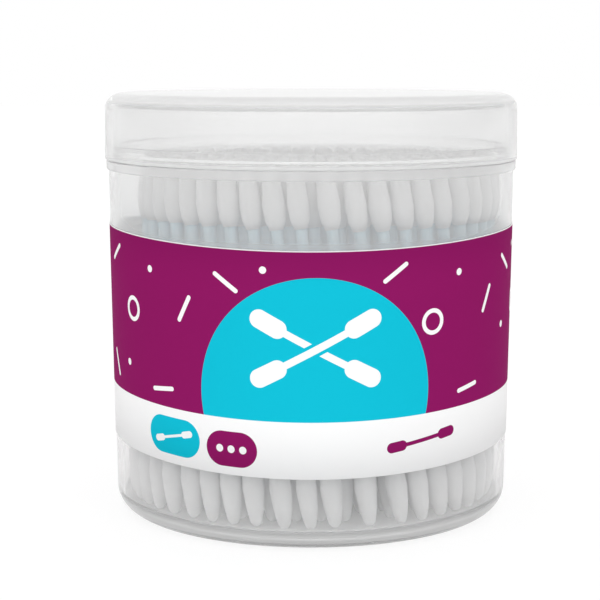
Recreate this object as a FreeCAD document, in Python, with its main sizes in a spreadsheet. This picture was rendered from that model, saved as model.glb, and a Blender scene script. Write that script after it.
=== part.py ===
import FreeCAD, Part
import math
import os
import random

import Sketcher

# Driving dimensions: alias, value and what it is, in millimetres unless it says otherwise.
# The object stands on the plane of height 0, and its axis is the vertical through the origin.
DIMENSIONS = [
    # Tub
    ("base_radius", 44.05, "outer wall radius where the wall's line meets the ground"),
    ("wall_lean", 0.0147, "outward lean of the wall, in millimetres for each millimetre of height"),
    ("wall", 1.4, "thickness of the tub's wall"),
    ("base_corner", 5.25, "outer rounding between wall and foot"),
    ("foot_band", 8.5, "width from the wall's line to the inner edge of the foot ring"),
    ("foot_taper", 0.8, "inward taper of the recess inside the foot ring"),
    ("foot_rise", 1.5, "height of the underside inside the foot ring"),
    ("floor_thickness", 2.4, "thickness of the floor"),
    ("floor_fillet", 1.2, "inner rounding between floor and wall"),
    ("tip_proud", 1.4, "how far an upright swab's tip stands above the lid's seat"),
    ("collar_height", 2.1, "height of the collar that the lid sits on"),
    ("collar_proud", 0.5, "how far the collar stands out from the wall"),
    ("neck_height", 3.4, "height of the neck above the collar"),
    ("neck_wall", 1.1, "thickness of the neck"),
    ("neck_clearance", 0.45, "radial gap between neck and lid skirt"),
    ("bead_rise", 1.9, "height of the bead's middle above the collar"),
    ("bead_radius", 0.8, "radius of the bead's round section"),
    ("bead_proud", 0.2, "how far the bead stands out from the neck"),
    ("edge_rounding", 0.35, "small rounding of collar, neck and skirt edges"),
    # Lid
    ("seat_gap", 0.1, "parting gap between collar and skirt"),
    ("lid_proud", 0.3, "how far the lid stands out from the collar"),
    ("lid_height", 14.5, "height of the lid over all"),
    ("lid_lean", 0.012, "inward lean of the skirt, in millimetres for each millimetre of height"),
    ("lid_wall", 1.35, "thickness of the skirt"),
    ("lid_top", 1.4, "thickness of the lid's flat top"),
    ("lid_corner", 3.5, "outer rounding between skirt and top"),
    # Label
    ("label_rise", 15.7, "height of the label's lower edge"),
    ("label_drop", 13.9, "distance from the collar down to the label's upper edge"),
    ("label_thickness", 0.15, "thickness of the label"),
    ("label_glue", 0.03, "glue line between wall and label"),
    ("label_overlap", 12.0, "angle of the label's overlap at the back, in degrees"),
    # Swabs
    ("swab_length", 76.2, "length of a swab over both buds"),
    ("stick_diameter", 2.4, "outer diameter of the hollow stick"),
    ("stick_bore", 1.5, "inner diameter of the hollow stick"),
    ("bud_length", 13.5, "length of a cotton bud"),
    ("bud_diameter", 4.8, "greatest diameter of a bud"),
    ("bud_belly", 8.5, "distance from a bud's tip to its greatest diameter"),
    ("bud_nose", 1.35, "radius of a bud's round tip"),
    ("bud_tail", 0.25, "thickness of the cotton where it ends on the stick"),
    ("bud_cover", 2.0, "cotton beyond the end of the stick"),
    ("bud_bore_clearance", 0.02, "radial gap between stick and cotton"),
    # Packing of the swabs
    ("floor_clearance", 0.1, "gap between the lowest tips and the floor"),
    ("wall_clearance", 0.4, "gap between the outermost buds and the wall at the floor"),
    ("row_clearance", 0.35, "gap between one ring of buds and the next"),
    ("mean_clearance", 0.55, "mean gap between neighbours in a ring"),
    ("least_clearance", 0.2, "least gap between neighbours in a ring, measured on the level"),
    ("bundle_twist", 18.0, "turn of the swabs' upper ends against their lower ends, in degrees"),
    ("bundle_squeeze", 0.962, "ring radius at the upper ends as a share of that at the lower ends"),
    ("bundle_shift", 2.0, "sideways shift of the upper ends, along +X"),
    ("greatest_lift", 0.4, "most that a swab stands above the lowest one"),
]

PACKING_SEED = 11
# A power above 1 gathers the spare room in a ring into fewer, wider gaps.
GATHERING = 5.0
SAME_PLACE = 0.001

document = FreeCAD.newDocument("cotton_swab_tub")
sheet = document.addObject("Spreadsheet::Sheet", "dimensions")
for row, (alias, value, meaning) in enumerate(DIMENSIONS, start=1):
    sheet.set(f"A{row}", meaning)
    sheet.set(f"B{row}", str(value))
    sheet.setAlias(f"B{row}", alias)
document.recompute()


class Size:
    """A length: its value now, and the sheet expression that it follows."""

    def __init__(self, value, text):
        self.value = value
        self.text = text

    def __add__(self, other):
        return Size(self.value + other.value, f"({self.text} + {other.text})")

    def __sub__(self, other):
        return Size(self.value - other.value, f"({self.text} - {other.text})")

    def __mul__(self, other):
        return Size(self.value * other.value, f"({self.text} * {other.text})")

    def half(self):
        return Size(self.value / 2, f"({self.text} / 2)")


def size(alias):
    return Size(float(sheet.get(alias)), f"dimensions.{alias}")


ZERO = Size(0.0, "0")


# Heights and radii that several pieces share


def wall_radius(height):
    """The tub's outer radius at a height."""
    return size("base_radius") + size("wall_lean") * height


def inner_radius(height):
    """The tub's inner radius at a height."""
    return wall_radius(height) - size("wall")


floor_height = size("foot_rise") + size("floor_thickness")
seat_height = floor_height + size("swab_length") - size("tip_proud")
collar_bottom = seat_height - size("collar_height")
collar_radius = wall_radius(collar_bottom) + size("collar_proud")
lid_radius = collar_radius + size("lid_proud")
skirt_inner = lid_radius - size("lid_wall")
neck_radius = skirt_inner - size("neck_clearance")
neck_inner = neck_radius - size("neck_wall")
neck_top = seat_height + size("neck_height")
stick_radius = size("stick_diameter").half()
bud_radius = size("bud_diameter").half()


# Sketch and feature helpers


def new_body(name):
    body = document.addObject("PartDesign::Body", name)
    body.Label = name
    return body


def new_sketch(body, name, role):
    """A sketch on one of the body's own origin planes."""
    plane = next(item for item in body.Origin.OriginFeatures if item.Role == role)
    sketch = body.newObject("Sketcher::SketchObject", name)
    sketch.AttachmentSupport = (plane, [""])
    sketch.MapMode = "FlatFace"
    return sketch


def bind(sketch, kind, *items, length):
    """Adds a constraint whose value follows the sheet."""
    index = sketch.addConstraint(Sketcher.Constraint(kind, *items, length.value))
    sketch.setExpression(f"Constraints[{index}]", length.text)


def pin(sketch, line, end, across, up):
    """Holds one end of a line or arc at its distances from the two axes."""
    for kind, axis, length in (("DistanceX", -2, across), ("DistanceY", -1, up)):
        if length is ZERO:
            sketch.addConstraint(Sketcher.Constraint("PointOnObject", line, end, axis))
        else:
            bind(sketch, kind, -1, 1, line, end, length=length)


def join(sketch, kind, first, second):
    """Joins the end of one edge to the start of the next."""
    sketch.addConstraint(Sketcher.Constraint(kind, first, 2, second, 1))


def straight_outline(body, name, role, corners):
    """A closed outline of straight edges with its corners at (radius, height)."""
    sketch = new_sketch(body, name, role)
    points = [FreeCAD.Vector(radius.value, height.value, 0) for radius, height in corners]
    for start, end in zip(points, points[1:] + points[:1]):
        sketch.addGeometry(Part.LineSegment(start, end), False)
    for index, (radius, height) in enumerate(corners):
        join(sketch, "Coincident", (index - 1) % len(corners), index)
        pin(sketch, index, 1, radius, height)
    return sketch


def turn(body, name, sketch, angle=None):
    """Revolves a sketch about the body's axis, all the way or by an angle about its plane."""
    feature = body.newObject("PartDesign::Revolution", name)
    feature.Profile = sketch
    feature.ReferenceAxis = (sketch, ["V_Axis"])
    feature.Angle = 360
    if angle:
        feature.Midplane = True
        feature.setExpression("Angle", angle.text)
    document.recompute()
    return feature


def round_rims(body, name, rims, rounding):
    """Rounds the circular edges of the body's last feature that lie at (radius, height)."""
    base = body.Tip
    edges = []
    for number, edge in enumerate(base.Shape.Edges, start=1):
        if not isinstance(edge.Curve, Part.Circle):
            continue
        for radius, height in rims:
            off_radius = abs(edge.Curve.Radius - radius.value)
            off_height = abs(edge.Curve.Center.z - height.value)
            if max(off_radius, off_height) < SAME_PLACE:
                edges.append(f"Edge{number}")
    feature = body.newObject("PartDesign::Fillet", name)
    feature.Base = (base, edges)
    feature.setExpression("Radius", rounding.text)
    document.recompute()


# Moulded pieces


def make_tub():
    """The clear tub in one moulding: foot ring, raised floor, leaning wall, collar and neck."""
    foot_inner = size("base_radius") - size("foot_band")
    recess_radius = foot_inner - size("foot_taper")
    body = new_body("tub")
    outline = [
        (ZERO, size("foot_rise")),
        (recess_radius, size("foot_rise")),
        (foot_inner, ZERO),
        (size("base_radius"), ZERO),
        (wall_radius(collar_bottom), collar_bottom),
        (collar_radius, collar_bottom),
        (collar_radius, seat_height),
        (neck_radius, seat_height),
        (neck_radius, neck_top),
        (neck_inner, neck_top),
        (neck_inner, seat_height),
        (inner_radius(collar_bottom), collar_bottom),
        (inner_radius(floor_height), floor_height),
        (ZERO, floor_height),
    ]
    turn(body, "tub_wall", straight_outline(body, "tub_outline", "XZ_Plane", outline))

    # The bead that the lid clips over is the outer sliver of a ring of round section.
    bead = new_sketch(body, "bead_section", "XZ_Plane")
    middle_radius = neck_radius + size("bead_proud") - size("bead_radius")
    middle_height = seat_height + size("bead_rise")
    middle = FreeCAD.Vector(middle_radius.value, middle_height.value, 0)
    upward = FreeCAD.Vector(0, 0, 1)
    bead.addGeometry(Part.Circle(middle, upward, size("bead_radius").value), False)
    pin(bead, 0, 3, middle_radius, middle_height)
    bind(bead, "Radius", 0, length=size("bead_radius"))
    turn(body, "neck_bead", bead)

    round_rims(body, "foot_corner", [(size("base_radius"), ZERO)], size("base_corner"))
    floor_rim = (inner_radius(floor_height), floor_height)
    round_rims(body, "floor_corner", [floor_rim], size("floor_fillet"))
    small_rims = [
        (foot_inner, ZERO),
        (collar_radius, collar_bottom),
        (collar_radius, seat_height),
        (neck_radius, neck_top),
        (neck_inner, neck_top),
    ]
    round_rims(body, "small_edges", small_rims, size("edge_rounding"))
    return body


def make_lid():
    """The frosted lid: a skirt that sits on the collar, and a flat top with a soft edge."""
    bottom = seat_height + size("seat_gap")
    top = bottom + size("lid_height")
    ceiling = top - size("lid_top")
    top_radius = lid_radius - size("lid_lean") * size("lid_height")
    ceiling_radius = skirt_inner - size("lid_lean") * (size("lid_height") - size("lid_top"))
    body = new_body("lid")
    outline = [
        (skirt_inner, bottom),
        (lid_radius, bottom),
        (top_radius, top),
        (ZERO, top),
        (ZERO, ceiling),
        (ceiling_radius, ceiling),
    ]
    turn(body, "lid_shell", straight_outline(body, "lid_outline", "XZ_Plane", outline))
    round_rims(body, "lid_corner_outside", [(top_radius, top)], size("lid_corner"))
    inner_corner = size("lid_corner") - size("lid_wall")
    round_rims(body, "lid_corner_inside", [(ceiling_radius, ceiling)], inner_corner)
    skirt_rims = [(skirt_inner, bottom), (lid_radius, bottom)]
    round_rims(body, "skirt_edges", skirt_rims, size("edge_rounding"))
    return body


def make_label():
    """The printed wrap, glued round the leaning wall, with its ends overlapping at the back."""
    bottom = size("label_rise")
    top = collar_bottom - size("label_drop")
    body = new_body("label")

    def band(name, role, inset, angle=None):
        outer = inset + size("label_thickness")
        outline = [
            (wall_radius(bottom) + inset, bottom),
            (wall_radius(bottom) + outer, bottom),
            (wall_radius(top) + outer, top),
            (wall_radius(top) + inset, top),
        ]
        sketch = straight_outline(body, f"{name}_section", role, outline)
        turn(body, name, sketch, angle)

    band("label_wrap", "XZ_Plane", size("label_glue"))
    over_wrap = size("label_glue") + size("label_thickness")
    band("label_overlap_strip", "YZ_Plane", over_wrap, size("label_overlap"))
    return body


# One stick and one bud, from which all the swabs are laid out


def make_stick():
    """The hollow stick of one swab, standing on the origin."""
    body = new_body("stick_pattern")
    sketch = new_sketch(body, "stick_section", "XY_Plane")
    centre = FreeCAD.Vector(0, 0, 0)
    upward = FreeCAD.Vector(0, 0, 1)
    for index, radius in enumerate((stick_radius, size("stick_bore").half())):
        sketch.addGeometry(Part.Circle(centre, upward, radius.value), False)
        sketch.addConstraint(Sketcher.Constraint("Coincident", index, 3, -1, 1))
        bind(sketch, "Radius", index, length=radius)
    tube = body.newObject("PartDesign::Pad", "stick_tube")
    tube.Profile = sketch
    length = size("swab_length") - size("bud_cover") - size("bud_cover")
    tube.setExpression("Length", length.text)
    document.recompute()
    return body


def make_bud():
    """One cotton bud with its tip on the origin: round nose, long flank, belly and tail."""
    nose = size("bud_nose")
    belly = size("bud_belly")
    tail_radius = stick_radius + size("bud_tail")
    bore_radius = stick_radius + size("bud_bore_clearance")
    bud_end = size("bud_length")
    cover = size("bud_cover")

    # The flank is the arc that runs into the nose and stands upright at the belly.
    rise = belly.value - nose.value
    flank = (rise**2 + bud_radius.value**2 - nose.value**2) / (2 * (bud_radius.value - nose.value))
    meeting = math.atan2(-rise, flank - bud_radius.value)
    tail_rise = bud_end.value - belly.value
    tail_drop = bud_radius.value - tail_radius.value
    tail = (tail_rise**2 + tail_drop**2) / (2 * tail_drop)
    tail_angle = math.asin(tail_rise / tail)

    body = new_body("bud_pattern")
    sketch = new_sketch(body, "bud_outline", "XZ_Plane")

    def point(across, up):
        return FreeCAD.Vector(across, up, 0)

    def arc(across, up, radius, start, end):
        circle = Part.Circle(point(across, up), FreeCAD.Vector(0, 0, 1), radius)
        return Part.ArcOfCircle(circle, start, end)

    corners = [
        point(tail_radius.value, bud_end.value),
        point(bore_radius.value, bud_end.value),
        point(bore_radius.value, cover.value),
        point(0, cover.value),
        point(0, 0),
    ]
    edges = [
        arc(0, nose.value, nose.value, -math.pi / 2, meeting),
        arc(bud_radius.value - flank, belly.value, flank, meeting, 0),
        arc(bud_radius.value - tail, belly.value, tail, 0, tail_angle),
    ]
    edges += [Part.LineSegment(start, end) for start, end in zip(corners, corners[1:])]
    for edge in edges:
        sketch.addGeometry(edge, False)
    nose_arc, flank_arc, tail_arc, end_face, bore_side, bore_floor, axis_line = range(len(edges))
    join(sketch, "Tangent", nose_arc, flank_arc)
    join(sketch, "Tangent", flank_arc, tail_arc)
    chain = (tail_arc, end_face, bore_side, bore_floor, axis_line, nose_arc)
    for first, second in zip(chain, chain[1:]):
        join(sketch, "Coincident", first, second)
    sketch.addConstraint(Sketcher.Constraint("Coincident", nose_arc, 1, -1, 1))
    sketch.addConstraint(Sketcher.Constraint("PointOnObject", nose_arc, 3, -2))
    sketch.addConstraint(Sketcher.Constraint("Horizontal", flank_arc, 3, flank_arc, 2))
    bind(sketch, "Radius", nose_arc, length=nose)
    pin(sketch, tail_arc, 1, bud_radius, belly)
    pin(sketch, end_face, 1, tail_radius, bud_end)
    pin(sketch, bore_side, 1, bore_radius, bud_end)
    pin(sketch, bore_floor, 1, bore_radius, cover)
    pin(sketch, axis_line, 1, ZERO, cover)
    turn(body, "bud_cotton", sketch)
    return body


# Packing: rings of swabs that stand on the floor and lean with the bundle's twist


def angles_round(chance, count, radius, least_pitch):
    """Angles of the swabs in a ring: side by side, with the spare room shared out unevenly."""
    least = 2 * math.asin(least_pitch / (2 * radius))
    spare = 2 * math.pi - count * least
    shares = [chance.random() ** GATHERING for _ in range(count)]
    angles = [0.0]
    for share in shares[:-1]:
        angles.append(angles[-1] + least + spare * share / sum(shares))
    return angles


def ring_radii():
    """Radii of the rings at the lower ends, from the wall inwards."""
    pitch = size("bud_diameter").value + size("row_clearance").value
    radius = inner_radius(floor_height).value - bud_radius.value - size("wall_clearance").value
    radii = []
    while radius > 0:
        radii.append(radius if 2 * radius > pitch else 0.0)
        radius -= pitch
    return radii


def swab_ends(radius, chance):
    """The lower and upper tips of every swab in one ring."""
    mean_pitch = size("bud_diameter").value + size("mean_clearance").value
    least_pitch = size("bud_diameter").value + size("least_clearance").value
    upper_radius = radius * size("bundle_squeeze").value
    twist = math.radians(size("bundle_twist").value)
    shift = size("bundle_shift").value
    if 2 * radius > mean_pitch:
        count = math.floor(math.pi / math.asin(mean_pitch / (2 * radius)))
        start = chance.uniform(0, 2 * math.pi)
        lower_angles = angles_round(chance, count, radius, least_pitch)
        upper_angles = angles_round(chance, count, upper_radius, least_pitch)
        drift = (sum(upper_angles) - sum(lower_angles)) / count
    else:
        start, lower_angles, upper_angles, drift = 0.0, [0.0], [0.0], 0.0
    lowest = floor_height.value + size("floor_clearance").value
    ends = []
    for lower_angle, upper_angle in zip(lower_angles, upper_angles):
        lower_angle += start
        upper_angle += start - drift - twist
        height = lowest + chance.uniform(0, size("greatest_lift").value)
        lower_x = radius * math.cos(lower_angle)
        lower_y = radius * math.sin(lower_angle)
        upper_x = upper_radius * math.cos(upper_angle) + shift
        upper_y = upper_radius * math.sin(upper_angle)
        reach = math.hypot(upper_x - lower_x, upper_y - lower_y)
        rise = math.sqrt(size("swab_length").value ** 2 - reach**2)
        lower = FreeCAD.Vector(lower_x, lower_y, height)
        ends.append((lower, FreeCAD.Vector(upper_x, upper_y, height + rise)))
    return ends


def placed(shape, foot, direction):
    """A copy of an upright piece, moved to a foot point and turned along a direction."""
    copy = shape.copy()
    turned = FreeCAD.Rotation(FreeCAD.Vector(0, 0, 1), direction)
    copy.Placement = FreeCAD.Placement(foot, turned)
    return copy


def make_rings(stick, bud):
    """For each ring, one group of sticks, one of lower buds and one of upper buds."""
    chance = random.Random(PACKING_SEED)
    cover = size("bud_cover").value
    groups = []
    for number, radius in enumerate(ring_radii(), start=1):
        sticks, lower_buds, upper_buds = [], [], []
        for lower, upper in swab_ends(radius, chance):
            along = (upper - lower).normalize()
            sticks.append(placed(stick.Shape, lower + along * cover, along))
            lower_buds.append(placed(bud.Shape, lower, along))
            upper_buds.append(placed(bud.Shape, upper, along * -1))
        ring = {
            f"sticks_ring_{number}": sticks,
            f"lower_buds_ring_{number}": lower_buds,
            f"upper_buds_ring_{number}": upper_buds,
        }
        for name, solids in ring.items():
            group = document.addObject("Part::Feature", name)
            group.Label = name
            group.Shape = Part.makeCompound(solids)
            group.Placement = FreeCAD.Placement()
            groups.append(group)
    return groups


pieces = [make_tub(), make_lid(), make_label()]
pieces += make_rings(make_stick(), make_bud())
document.recompute()

for item in document.Objects:
    if "Invalid" in item.State or "Error" in item.State:
        raise RuntimeError(f"{item.Label} did not build: {item.State}")
for piece in pieces:
    if piece.Shape.isNull() or not piece.Shape.isValid():
        raise RuntimeError(f"{piece.Label} has no valid shape")

os.makedirs("parts", exist_ok=True)
for piece in pieces:
    piece.Shape.exportStep(f"parts/{piece.Label}.step")
    count = len(piece.Shape.Solids)
    print(f"{piece.Label}: {count} solids, {piece.Shape.Volume / 1000:.2f} cubic centimetres")
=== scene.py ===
import math
import random

import bmesh
import bpy
from mathutils import Matrix, Vector


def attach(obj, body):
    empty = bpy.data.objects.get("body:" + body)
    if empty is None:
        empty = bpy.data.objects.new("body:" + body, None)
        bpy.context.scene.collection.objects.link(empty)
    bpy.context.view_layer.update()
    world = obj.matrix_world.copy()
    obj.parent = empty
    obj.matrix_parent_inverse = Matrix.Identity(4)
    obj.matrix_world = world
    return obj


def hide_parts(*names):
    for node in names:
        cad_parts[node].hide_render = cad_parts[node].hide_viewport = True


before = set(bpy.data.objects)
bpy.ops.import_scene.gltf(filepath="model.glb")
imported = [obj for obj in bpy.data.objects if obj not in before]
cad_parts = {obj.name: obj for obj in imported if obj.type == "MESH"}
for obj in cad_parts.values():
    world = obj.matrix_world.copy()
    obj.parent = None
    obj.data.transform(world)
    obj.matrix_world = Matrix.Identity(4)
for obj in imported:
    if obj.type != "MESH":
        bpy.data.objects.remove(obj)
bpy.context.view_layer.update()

# Sizes are in millimetres up to here, and every mesh is made in metres.
MM = 0.001
ROUND_STEPS = 192
MERGE = 1e-7

# Wall, collar and neck of the tub
BASE_RADIUS = 44.05
WALL_LEAN = 0.0147
WALL = 1.4
FOOT_INNER = 35.55
RECESS_RADIUS = 34.75
FOOT_RISE = 1.5
FLOOR = 3.9
COLLAR_BOTTOM = 76.6
SEAT = 78.7
COLLAR_PROUD = 0.5
NECK_RADIUS = 44.176
NECK_WALL = 1.1
NECK_TOP = 82.1
BEAD_HEIGHT = 80.6
BEAD_PROUD = 0.2
BEAD_HALF = 0.53

# Lid
SKIRT_BOTTOM = 78.8
LID_TOP = 93.3
LID_CEILING = 91.9
LID_RADIUS = 45.976
LID_WALL = 1.35
LID_LEAN = 0.012

# Label
LABEL_BOTTOM = 15.7
LABEL_TOP = 62.7
LABEL_GLUE = 0.03
LABEL_THICKNESS = 0.15
OVERLAP_ANGLE = math.radians(12)
SIDE_RISE = 2.0

# Swabs
BUD_COVER = 2.0
COTTON_SEED = 5
RINGS = range(1, 9)


def wall_radius(height):
    """The tub's outer radius at a height."""
    return BASE_RADIUS + WALL_LEAN * height


# Shader values and materials


class Wire:
    """An output of a shader node. Sums on it add their Math nodes."""

    def __init__(self, finish, socket):
        self.finish = finish
        self.socket = socket

    def maths(self, operation, first, second=0.0, clamped=False):
        settings = {"operation": operation, "use_clamp": clamped}
        return self.finish.node("Math", settings, {0: first, 1: second})

    def __add__(self, other):
        return self.maths("ADD", self, other)

    def __radd__(self, other):
        return self.maths("ADD", other, self)

    def __sub__(self, other):
        return self.maths("SUBTRACT", self, other)

    def __rsub__(self, other):
        return self.maths("SUBTRACT", other, self)

    def __mul__(self, other):
        return self.maths("MULTIPLY", self, other)

    def __rmul__(self, other):
        return self.maths("MULTIPLY", other, self)

    def __truediv__(self, other):
        return self.maths("DIVIDE", self, other)

    def __pow__(self, other):
        return self.maths("POWER", self, other)

    def __abs__(self):
        return self.maths("ABSOLUTE", self)

    def at_least(self, other):
        return self.maths("MAXIMUM", self, other)

    def at_most(self, other):
        return self.maths("MINIMUM", self, other)

    def clamped(self):
        return self.maths("ADD", self, 0.0, clamped=True)

    def wrapped(self, length):
        """The value brought between 0 and a length, over and over."""
        return self.maths("FLOORED_MODULO", self, length)


class Finish:
    """The nodes of one material or of the world."""

    def __init__(self, owner):
        owner.use_nodes = True
        self.owner = owner
        self.tree = owner.node_tree
        self.tree.nodes.clear()

    def node(self, kind, settings=None, inputs=None, output=0):
        """Adds a node: its settings first, then the value or link of each named input."""
        made = self.tree.nodes.new("ShaderNode" + kind)
        for name, value in (settings or {}).items():
            setattr(made, name, value)
        for name, value in (inputs or {}).items():
            if isinstance(value, Wire):
                self.tree.links.new(value.socket, made.inputs[name])
            else:
                made.inputs[name].default_value = value
        return Wire(self, made.outputs[output])

    def mix_colours(self, share, first, second):
        settings = {"data_type": "RGBA"}
        return self.node("Mix", settings, {0: share, 6: first, 7: second}, output=2)

    def split(self, vector):
        """The three parts of a vector."""
        return [self.node("SeparateXYZ", {}, {0: vector}, output=part) for part in range(3)]

    def noise(self, vector, scale, detail=2.0):
        inputs = {"Vector": vector, "Scale": scale, "Detail": detail}
        return self.node("TexNoise", {}, inputs)

    def ramp(self, value, stops):
        """A level that follows a value through stops of (value, level)."""
        made = self.tree.nodes.new("ShaderNodeValToRGB")
        for place, level in stops[1:-1]:
            made.color_ramp.elements.new(place)
        for element, (place, level) in zip(made.color_ramp.elements, stops):
            element.position = place
            element.color = grey(level)
        self.tree.links.new(value.socket, made.inputs[0])
        return Wire(self, made.outputs[0])

    def output(self, shader, inside=None):
        kind = "OutputWorld" if isinstance(self.owner, bpy.types.World) else "OutputMaterial"
        end = self.tree.nodes.new("ShaderNode" + kind)
        self.tree.links.new(shader.socket, end.inputs["Surface"])
        if inside:
            self.tree.links.new(inside.socket, end.inputs["Volume"])
        return self.owner


def new_finish(name):
    return Finish(bpy.data.materials.new(name))


def grey(level):
    return (level, level, level, 1.0)


# Placing of finished pieces


def add_piece(name, mesh, materials, body, slot, *nodes):
    """Shows a mesh as the piece that stands for some of the frame's nodes."""
    piece = bpy.data.objects.new(name, mesh)
    bpy.context.scene.collection.objects.link(piece)
    for material in materials:
        mesh.materials.append(material)
    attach(piece, body)
    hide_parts(*nodes)
    return piece


def new_mesh(name, shape):
    mesh = bpy.data.meshes.new(name)
    shape.to_mesh(mesh)
    shape.free()
    mesh.shade_smooth()
    return mesh


# Moulded pieces


def turned(outline, roundings):
    """Turns an outline of (radius, height) corners right round, then rounds some of its rims."""
    shape = bmesh.new()
    corners = [shape.verts.new((radius * MM, 0, height * MM)) for radius, height in outline]
    for start, end in zip(corners, corners[1:]):
        shape.edges.new((start, end))
    if outline[0][0] or outline[-1][0]:
        shape.edges.new((corners[-1], corners[0]))
    bmesh.ops.spin(
        shape,
        geom=shape.verts[:] + shape.edges[:],
        cent=(0, 0, 0),
        axis=(0, 0, 1),
        angle=math.tau,
        steps=ROUND_STEPS,
        use_merge=True,
    )
    bmesh.ops.remove_doubles(shape, verts=shape.verts, dist=MERGE)
    bmesh.ops.recalc_face_normals(shape, faces=shape.faces)
    for radius, height, rounding, segments in roundings:
        rim = [edge for edge in shape.edges if all(on_rim(v, radius, height) for v in edge.verts)]
        bmesh.ops.bevel(
            shape,
            geom=rim,
            offset=rounding * MM,
            offset_type="OFFSET",
            affect="EDGES",
            segments=segments,
            profile=0.5,
            material=-1,
        )
    return shape


def on_rim(vertex, radius, height):
    x, y, z = vertex.co
    return max(abs(math.hypot(x, y) - radius * MM), abs(z - height * MM)) < 1e-6


def keep_flats_flat(piece):
    """Lets the large faces rule the shading, so that only the rounded edges look round."""
    weighted = piece.modifiers.new("flats", "WEIGHTED_NORMAL")
    weighted.keep_sharp = True


def make_tub(material):
    neck_inner = NECK_RADIUS - NECK_WALL
    wall_top = wall_radius(COLLAR_BOTTOM)
    collar_radius = wall_top + COLLAR_PROUD
    floor_radius = wall_radius(FLOOR) - WALL
    outline = [
        (0, FOOT_RISE),
        (RECESS_RADIUS, FOOT_RISE),
        (FOOT_INNER, 0),
        (BASE_RADIUS, 0),
        (wall_top, COLLAR_BOTTOM),
        (collar_radius, COLLAR_BOTTOM),
        (collar_radius, SEAT),
        (NECK_RADIUS, SEAT),
        (NECK_RADIUS, BEAD_HEIGHT - BEAD_HALF),
        (NECK_RADIUS + BEAD_PROUD, BEAD_HEIGHT),
        (NECK_RADIUS, BEAD_HEIGHT + BEAD_HALF),
        (NECK_RADIUS, NECK_TOP),
        (neck_inner, NECK_TOP),
        (neck_inner, SEAT),
        (wall_top - WALL, COLLAR_BOTTOM),
        (floor_radius, FLOOR),
        (0, FLOOR),
    ]
    roundings = [
        (BASE_RADIUS, 0, 5.2, 12),
        (floor_radius, FLOOR, 1.2, 6),
        (FOOT_INNER, 0, 0.35, 3),
        (collar_radius, COLLAR_BOTTOM, 0.35, 4),
        (collar_radius, SEAT, 0.35, 4),
        (NECK_RADIUS + BEAD_PROUD, BEAD_HEIGHT, 0.3, 4),
        (NECK_RADIUS, NECK_TOP, 0.35, 4),
        (neck_inner, NECK_TOP, 0.35, 4),
    ]
    mesh = new_mesh("clear_tub", turned(outline, roundings))
    piece = add_piece("clear_tub", mesh, [material], "tub", "clear_plastic", "tub")
    keep_flats_flat(piece)


def make_lid(material):
    skirt_inner = LID_RADIUS - LID_WALL
    top_radius = LID_RADIUS - LID_LEAN * (LID_TOP - SKIRT_BOTTOM)
    ceiling_radius = skirt_inner - LID_LEAN * (LID_CEILING - SKIRT_BOTTOM)
    outline = [
        (0, LID_CEILING),
        (ceiling_radius, LID_CEILING),
        (skirt_inner, SKIRT_BOTTOM),
        (LID_RADIUS, SKIRT_BOTTOM),
        (top_radius, LID_TOP),
        (0, LID_TOP),
    ]
    roundings = [
        (top_radius, LID_TOP, 3.5, 14),
        (ceiling_radius, LID_CEILING, 2.15, 10),
        (skirt_inner, SKIRT_BOTTOM, 0.35, 4),
        (LID_RADIUS, SKIRT_BOTTOM, 0.35, 4),
    ]
    mesh = new_mesh("frosted_lid", turned(outline, roundings))
    piece = add_piece("frosted_lid", mesh, [material], "lid", "frosted_plastic", "lid")
    keep_flats_flat(piece)


# Label: a straight strip, bent round the wall so that its ends overlap at the back

LABEL_STEPS = 250
LABEL_ROWS = 4
STEP_OVER = math.radians(2.5)


def make_label(print_material, paper):
    height = LABEL_TOP - LABEL_BOTTOM
    shape = bmesh.new()
    bmesh.ops.create_grid(shape, x_segments=LABEL_STEPS, y_segments=LABEL_ROWS, size=0.5)
    printed = shape.loops.layers.uv.new("print")
    full_turn = math.tau + OVERLAP_ANGLE
    middle = (LABEL_BOTTOM + LABEL_TOP) / 2
    places = {}
    for vertex in shape.verts:
        across = vertex.co.x
        up = vertex.co.y * height
        angle = across * full_turn
        places[vertex] = (angle * wall_radius(middle), up + height / 2)
        past_start = angle - (math.pi - OVERLAP_ANGLE / 2 - STEP_OVER)
        over = min(max(past_start / STEP_OVER, 0), 1)
        lift = LABEL_GLUE + over * LABEL_THICKNESS * 1.02
        level = middle + up + SIDE_RISE * math.sin(angle) ** 2
        radius = wall_radius(level) + lift
        vertex.co = Vector((radius * math.sin(angle), -radius * math.cos(angle), level)) * MM
    for face in shape.faces:
        for loop in face.loops:
            loop[printed].uv = places[loop.vert]
    bmesh.ops.recalc_face_normals(shape, faces=shape.faces)
    outward = sum(face.normal.dot(face.calc_center_median() * Vector((1, 1, 0))) for face in shape.faces)
    if outward < 0:
        bmesh.ops.reverse_faces(shape, faces=shape.faces)
    mesh = new_mesh("printed_label", shape)
    piece = add_piece("printed_label", mesh, [print_material, paper], "tub", "printed_label", "label")
    thick = piece.modifiers.new("paper", "SOLIDIFY")
    thick.thickness = LABEL_THICKNESS * MM
    thick.offset = 1
    thick.material_offset = 1
    thick.material_offset_rim = 1


# Cotton buds, on the ends of the sticks

BUD_SIDES = 12
BUD_OUTLINE = [(0, 0), (0.75, 0.25), (1.3, 1.0), (1.95, 4.0), (2.4, 8.5), (2.1, 11.6), (1.45, 13.5)]


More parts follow.
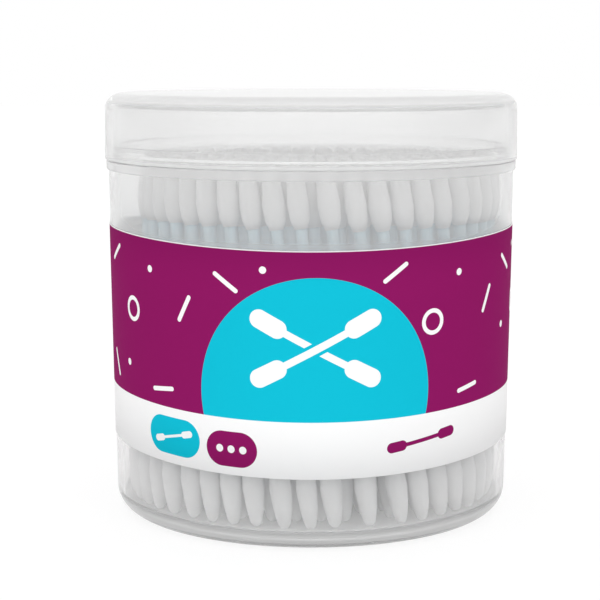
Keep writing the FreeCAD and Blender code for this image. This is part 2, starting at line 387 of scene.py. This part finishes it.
def bud_pattern():
    """One bud with its tip on the origin. Its caller, make_buds, then gives each point its own place, for
    the fibres.
    """
    shape = bmesh.new()
    points = [shape.verts.new((radius * MM, 0, height * MM)) for radius, height in BUD_OUTLINE]
    points.append(shape.verts.new((0, 0, BUD_OUTLINE[-1][1] * MM)))
    for start, end in zip(points, points[1:]):
        shape.edges.new((start, end))
    bmesh.ops.spin(
        shape,
        geom=shape.verts[:] + shape.edges[:],
        cent=(0, 0, 0),
        axis=(0, 0, 1),
        angle=math.tau,
        steps=BUD_SIDES,
        use_merge=True,
    )
    bmesh.ops.remove_doubles(shape, verts=shape.verts, dist=MERGE)
    bmesh.ops.recalc_face_normals(shape, faces=shape.faces)
    return shape


def stick_axes(node):
    """The two ends of every stick in a node."""
    shape = bmesh.new()
    shape.from_mesh(node.data)
    bmesh.ops.remove_doubles(shape, verts=shape.verts, dist=MERGE)
    unseen = set(shape.verts)
    axes = []
    while unseen:
        group = {unseen.pop()}
        edge_of_group = set(group)
        while edge_of_group:
            near = {edge.other_vert(v) for v in edge_of_group for edge in v.link_edges}
            edge_of_group = near - group
            group |= edge_of_group
        unseen -= group
        places = [v.co for v in group]
        middle = sum(p.z for p in places) / len(places)
        ends = []
        for side in (-1, 1):
            end = [p for p in places if (p.z - middle) * side > 0]
            ends.append(sum(end, Vector()) / len(end))
        axes.append(ends)
    shape.free()
    axes.sort(key=lambda ends: math.atan2(ends[0].y, ends[0].x))
    return axes


def make_buds(material):
    chance = random.Random(COTTON_SEED)
    pattern = bmesh.new()
    single = bud_pattern()
    own = single.verts.layers.float_vector.new("own_place")
    for vertex in single.verts:
        vertex[own] = vertex.co
    single_mesh = bpy.data.meshes.new("one_bud")
    single.to_mesh(single_mesh)
    single.free()
    pattern.free()
    for ring in RINGS:
        axes = stick_axes(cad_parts[f"sticks_ring_{ring}"])
        for side, name in ((0, "lower"), (1, "upper")):
            shape = bmesh.new()
            for ends in axes:
                place_bud(shape, single_mesh, ends[side], ends[side] - ends[1 - side], chance)
            mesh = new_mesh(f"{name}_cotton_{ring}", shape)
            node = f"{name}_buds_ring_{ring}"
            add_piece(f"{name}_cotton_{ring}", mesh, [material], "tub", "cotton", node)
    bpy.data.meshes.remove(single_mesh)


def place_bud(shape, single_mesh, stick_end, outward, chance):
    """Adds one bud whose tip points outward past the end of its stick."""
    before = len(shape.verts)
    shape.from_mesh(single_mesh)
    shape.verts.ensure_lookup_table()
    fresh = shape.verts[before:]
    own = shape.verts.layers.float_vector["own_place"]
    outward = outward.normalized()
    tip = stick_end + outward * BUD_COVER * MM
    turn = (-outward).to_track_quat("Z", "Y").to_matrix().to_4x4()
    spin = Matrix.Rotation(chance.uniform(0, math.tau), 4, "Z")
    girth = chance.uniform(0.955, 1.0)
    width = Matrix.Diagonal((girth, girth * chance.uniform(0.96, 1.0), 1, 1))
    offset = Vector([chance.uniform(-1, 1) for _ in range(3)])
    for vertex in fresh:
        vertex[own] = vertex[own] + offset
    bmesh.ops.transform(shape, matrix=Matrix.Translation(tip) @ turn @ spin @ width, verts=fresh)


# Finishes


# Share of milk in each moulding by height, and in the tub's floor
FLOOR_HAZE = 0.5
TUB_HAZE = [
    (0.0, 0.0),
    (0.7, 0.0),
    (1.8, 0.45),
    (3.5, 0.45),
    (5.1, 0.1),
    (9.4, 0.03),
    (58.0, 0.05),
    (63.0, 0.25),
    (67.5, 0.18),
    (76.4, 0.16),
    (76.7, 0.26),
    (78.75, 0.26),
    (78.9, 0.0),
]
LID_HAZE = [(78.8, 0.3), (79.4, 0.3), (79.8, 0.02), (91.0, 0.02), (91.9, 0.5), (93.3, 0.5)]
MILK = 0.92


def clear_plastic():
    finish = new_finish("clear_plastic")
    place = finish.node("TexCoord", output=3)
    ripple = finish.noise(place, 60.0)
    bump = finish.node("Bump", {}, {"Strength": 0.06, "Distance": 0.0004, "Height": ripple})
    inputs = {
        "Base Color": grey(1.0),
        "Roughness": 0.02,
        "IOR": 1.49,
        "Transmission Weight": 0.96,
        "Normal": bump,
    }
    plastic = finish.node("BsdfPrincipled", {}, inputs)
    across, back, height = finish.split(place)
    past_floor = ((across * across + back * back) ** 0.5 / MM - wall_radius(FLOOR) + 2 * WALL).clamped()
    above_floor = (height / MM - FLOOR).clamped()
    floor_haze = (1 - past_floor.at_least(above_floor)) * FLOOR_HAZE
    haze = haze_by_height(finish, height, TUB_HAZE).at_least(floor_haze)
    surface = lit_through(finish, milky(finish, plastic, haze), 1.0)
    depth = finish.node("VolumeAbsorption", {}, {"Color": grey(0.0), "Density": 5.0})
    return finish.output(surface, depth)


def haze_by_height(finish, height, stops):
    """The share of milk at a height, from stops of (height, share)."""
    top = stops[-1][0]
    return finish.ramp(height / (top * MM), [(level / top, share) for level, share in stops])


def milky(finish, plastic, haze):
    """Lays a share of milky white over a clear plastic."""
    milk = finish.node("BsdfDiffuse", {}, {"Color": grey(MILK)})
    return finish.node("MixShader", {}, {0: haze, 1: plastic, 2: milk})


def lit_through(finish, surface, share):
    """Lets a share of the light shine through a piece, onto what lies behind it."""
    gap = finish.node("BsdfTransparent", {}, {"Color": grey(share)})
    shadow = finish.node("LightPath", output=1)
    return finish.node("MixShader", {}, {0: shadow, 1: surface, 2: gap})


def frosted_plastic():
    finish = new_finish("frosted_plastic")
    place = finish.node("TexCoord", output=3)
    grain = finish.noise(place, 2500.0)
    bump = finish.node("Bump", {}, {"Strength": 0.08, "Distance": 0.00005, "Height": grain})
    inputs = {
        "Base Color": grey(0.97),
        "Roughness": 0.06,
        "IOR": 1.46,
        "Transmission Weight": 0.82,
        "Normal": bump,
    }
    plastic = finish.node("BsdfPrincipled", {}, inputs)
    _, _, height = finish.split(place)
    haze = haze_by_height(finish, height, LID_HAZE)
    return finish.output(lit_through(finish, milky(finish, plastic, haze), 1.0))


def cotton():
    finish = new_finish("cotton")
    own = finish.node("Attribute", {"attribute_name": "own_place"}, output=1)
    wound = finish.node("Mapping", {}, {"Vector": own, "Scale": (600, 600, 2600)})
    fibres = finish.noise(wound, 1.0, 4.0)
    tufts = finish.noise(own, 500.0, 2.0)
    height = fibres * 0.6 + tufts * 0.6
    bump = finish.node("Bump", {}, {"Strength": 0.5, "Distance": 0.0002, "Height": height})
    shade = finish.mix_colours(fibres, grey(0.93), grey(0.99))
    inputs = {
        "Base Color": shade,
        "Roughness": 0.95,
        "Specular IOR Level": 0.2,
        "Subsurface Weight": 1.0,
        "Subsurface Radius": (1.0, 1.0, 1.0),
        "Subsurface Scale": 0.0025,
        "Sheen Weight": 0.1,
        "Sheen Roughness": 0.5,
        "Normal": bump,
    }
    wound = finish.node("BsdfPrincipled", {}, inputs)
    return finish.output(lit_through(finish, wound, 0.75))


def blue_stick():
    finish = new_finish("blue_stick")
    place = finish.node("TexCoord", output=3)
    drawn = finish.node("Mapping", {}, {"Vector": place, "Scale": (1500, 1500, 60)})
    streaks = finish.noise(drawn, 1.0)
    shade = finish.mix_colours(streaks, (0.5, 0.75, 0.95, 1), (0.56, 0.79, 0.97, 1))
    inputs = {
        "Base Color": shade,
        "Roughness": 0.35,
        "IOR": 1.5,
        "Subsurface Weight": 1.0,
        "Subsurface Radius": (1.0, 1.0, 1.0),
        "Subsurface Scale": 0.001,
    }
    tube = finish.node("BsdfPrincipled", {}, inputs)
    return finish.output(lit_through(finish, tube, 0.92))


PURPLE = (0.2664, 0.0097, 0.1170, 1)
CYAN = (0.0065, 0.5210, 0.6795, 1)
WHITE_PRINT = grey(0.95)
EDGE_BLUR = 0.04
BORDER = 27.6 - LABEL_BOTTOM
DISC_RADIUS = 24.6
DISC_ACROSS = 1.0
DISC_UP = BORDER + 5.1
TILE = 71.2
TOP_LINE = 0.2
PAPER_SHARE = 0.7


def inside(distance):
    """1 where a signed distance is negative, 0 where it's positive, with a thin soft edge."""
    return (0.5 - distance / EDGE_BLUR).clamped()


def from_point(across, up, point):
    right = across - point[0]
    high = up - point[1]
    return (right * right + high * high) ** 0.5


def disc(across, up, point, radius):
    return inside(from_point(across, up, point) - radius)


def ring(across, up, point, radius, line):
    return inside(abs(from_point(across, up, point) - radius) - line / 2)


def bar_distance(across, up, point, angle, length, width):
    """Distance to a bar with round ends."""
    right = across - point[0]
    high = up - point[1]
    cosine = math.cos(math.radians(angle))
    sine = math.sin(math.radians(angle))
    along = right * cosine + high * sine
    aside = high * cosine - right * sine
    past_end = (abs(along) - (length - width) / 2).at_least(0.0)
    return (past_end * past_end + aside * aside) ** 0.5 - width / 2


def bar(across, up, point, angle, length, width):
    return inside(bar_distance(across, up, point, angle, length, width))


def swab_distance(across, up, point, angle, length):
    """Distance to a drawn swab: a thin stick with a long bud at each end."""
    cosine = math.cos(math.radians(angle))
    sine = math.sin(math.radians(angle))
    bud = 0.27 * length
    nearest = bar_distance(across, up, point, angle, length - bud, 0.05 * length)
    for side in (-1, 1):
        reach = side * (length - bud) / 2
        place = (point[0] + reach * cosine, point[1] + reach * sine)
        nearest = nearest.at_most(bar_distance(across, up, place, angle, bud, 0.13 * length))
    return nearest


def printed_label():
    finish = new_finish("printed_label")
    place = finish.node("UVMap", {"uv_map": "print"})
    across, up, _ = finish.split(place)
    tile = across.wrapped(TILE)

    confetti = None
    dots = [(6.0, 30.5), (24.0, 19.0), (33.5, 40.5), (52.0, 26.5), (61.5, 43.0), (66.0, 17.5)]
    bars = [(17.5, 42.0, 35), (16.0, 17.5, 118), (43.5, 33.5, 62), (53.5, 40.0, 145), (37.0, 15.6, 8)]
    rings = [(26.5, 31.0), (64.0, 30.0)]
    for point in dots:
        shown = disc(tile, up, point, 0.75)
        confetti = shown if confetti is None else confetti.at_least(shown)
    for x, y, angle in bars:
        confetti = confetti.at_least(bar(tile, up, (x, y), angle, 6.5, 0.95))
    for point in rings:
        confetti = confetti.at_least(ring(tile, up, point, 2.3, 0.9))

    middle = (DISC_ACROSS, DISC_UP)
    round_field = disc(across, up, middle, DISC_RADIUS)
    upper = inside(BORDER - up)
    first = swab_distance(across, up, (DISC_ACROSS, BORDER + 15), 28, 30)
    second = swab_distance(across, up, (DISC_ACROSS, BORDER + 15), 152, 30)
    swabs = inside(first).at_least(inside(second) * (1 - inside(first - 0.7)))

    colour = finish.mix_colours(confetti, PURPLE, WHITE_PRINT)
    colour = finish.mix_colours(round_field, colour, CYAN)
    colour = finish.mix_colours(swabs, colour, WHITE_PRINT)
    colour = finish.mix_colours(upper, WHITE_PRINT, colour)
    cyan_plate = bar(across, up, (-31.5, 5.9), 0, 14.6, 8.0)
    purple_plate = bar(across, up, (-16.8, 5.4), 0, 11.4, 7.4)
    colour = finish.mix_colours(cyan_plate, colour, CYAN)
    colour = finish.mix_colours(purple_plate, colour, PURPLE)
    top_line = inside(LABEL_TOP - LABEL_BOTTOM - TOP_LINE - up)
    plate_marks = inside(swab_distance(across, up, (-31.5, 5.9), 14, 11.0)).at_least(top_line)
    for right in (-2.6, 0.0, 2.6):
        plate_marks = plate_marks.at_least(disc(across, up, (-16.8 + right, 5.4), 0.8))
    colour = finish.mix_colours(plate_marks, colour, WHITE_PRINT)
    drawn_swab = inside(swab_distance(across, up, (24.5, 6.4), 6, 17.0))
    colour = finish.mix_colours(drawn_swab, colour, PURPLE)

    fibre = finish.noise(finish.node("TexCoord", output=3), 3000.0, 3.0)
    bump = finish.node("Bump", {}, {"Strength": 0.05, "Distance": 0.00003, "Height": fibre})
    inputs = {
        "Base Color": colour,
        "Roughness": fibre * 0.12 + 0.5,
        "Specular IOR Level": 0.005,
        "Normal": bump,
    }
    return finish.output(lit_through(finish, finish.node("BsdfPrincipled", {}, inputs), PAPER_SHARE))


def label_paper():
    finish = new_finish("label_paper")
    fibre = finish.noise(finish.node("TexCoord", output=3), 2500.0, 3.0)
    shade = finish.mix_colours(fibre, grey(0.92), grey(0.97))
    paper = finish.node("BsdfPrincipled", {}, {"Base Color": shade, "Roughness": 0.8})
    return finish.output(lit_through(finish, paper, PAPER_SHARE))


# Floor, light and camera


def sights(finish):
    """1 where the camera looks straight at something, and 1 where it looks by gloss or through plastic."""
    straight, gloss, through = [finish.node("LightPath", output=kind) for kind in (0, 3, 6)]
    return straight, gloss.at_least(through)


def make_floor():
    shape = bmesh.new()
    bmesh.ops.create_grid(shape, x_segments=1, y_segments=1, size=3.0)
    bmesh.ops.translate(shape, verts=shape.verts, vec=(0, 0, -0.00005))
    floor = bpy.data.objects.new("floor", new_mesh("floor", shape))
    bpy.context.scene.collection.objects.link(floor)
    finish = new_finish("floor")
    straight, indirect = sights(finish)
    seen = straight.at_least(indirect * 0.4)
    shade = finish.mix_colours(seen, grey(0.8), grey(0.22))
    matt = finish.node("BsdfDiffuse", {}, {"Color": shade})
    glow = finish.node("Emission", {}, {"Color": grey(1), "Strength": seen * 0.66 + 0.15})
    floor.data.materials.append(finish.output(finish.node("AddShader", {}, {0: matt, 1: glow})))


def make_light():
    world = bpy.data.worlds.new("studio")
    bpy.context.scene.world = world
    finish = Finish(world)
    across, back, _ = finish.split(finish.node("TexCoord", output=0))
    side = ((abs(across) - 0.6) / 0.37).clamped()
    straight, indirect = sights(finish)
    soft_box = (0 - back).clamped() * 0.42 * (1 - straight.at_least(indirect))
    level = 1 - side * 0.55 * (1 - straight) + soft_box
    finish.output(finish.node("Background", {}, {"Color": grey(1), "Strength": level}))


def make_camera():
    data = bpy.data.cameras.new("camera")
    data.sensor_width = 36
    data.lens = 103.73
    camera = bpy.data.objects.new("camera", data)
    bpy.context.scene.collection.objects.link(camera)
    camera.location = (0, -0.3888, 0.1018)
    camera.rotation_euler = (math.radians(90 - 8.10), 0, math.radians(0.362))
    bpy.context.scene.camera = camera


make_tub(clear_plastic())
make_lid(frosted_plastic())
make_label(printed_label(), label_paper())
make_buds(cotton())
stick_material = blue_stick()
for ring_number in RINGS:
    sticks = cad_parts[f"sticks_ring_{ring_number}"]
    sticks.data.materials.clear()
    sticks.data.materials.append(stick_material)
make_floor()
make_light()
make_camera()
bpy.context.scene.view_settings.view_transform = "Standard"
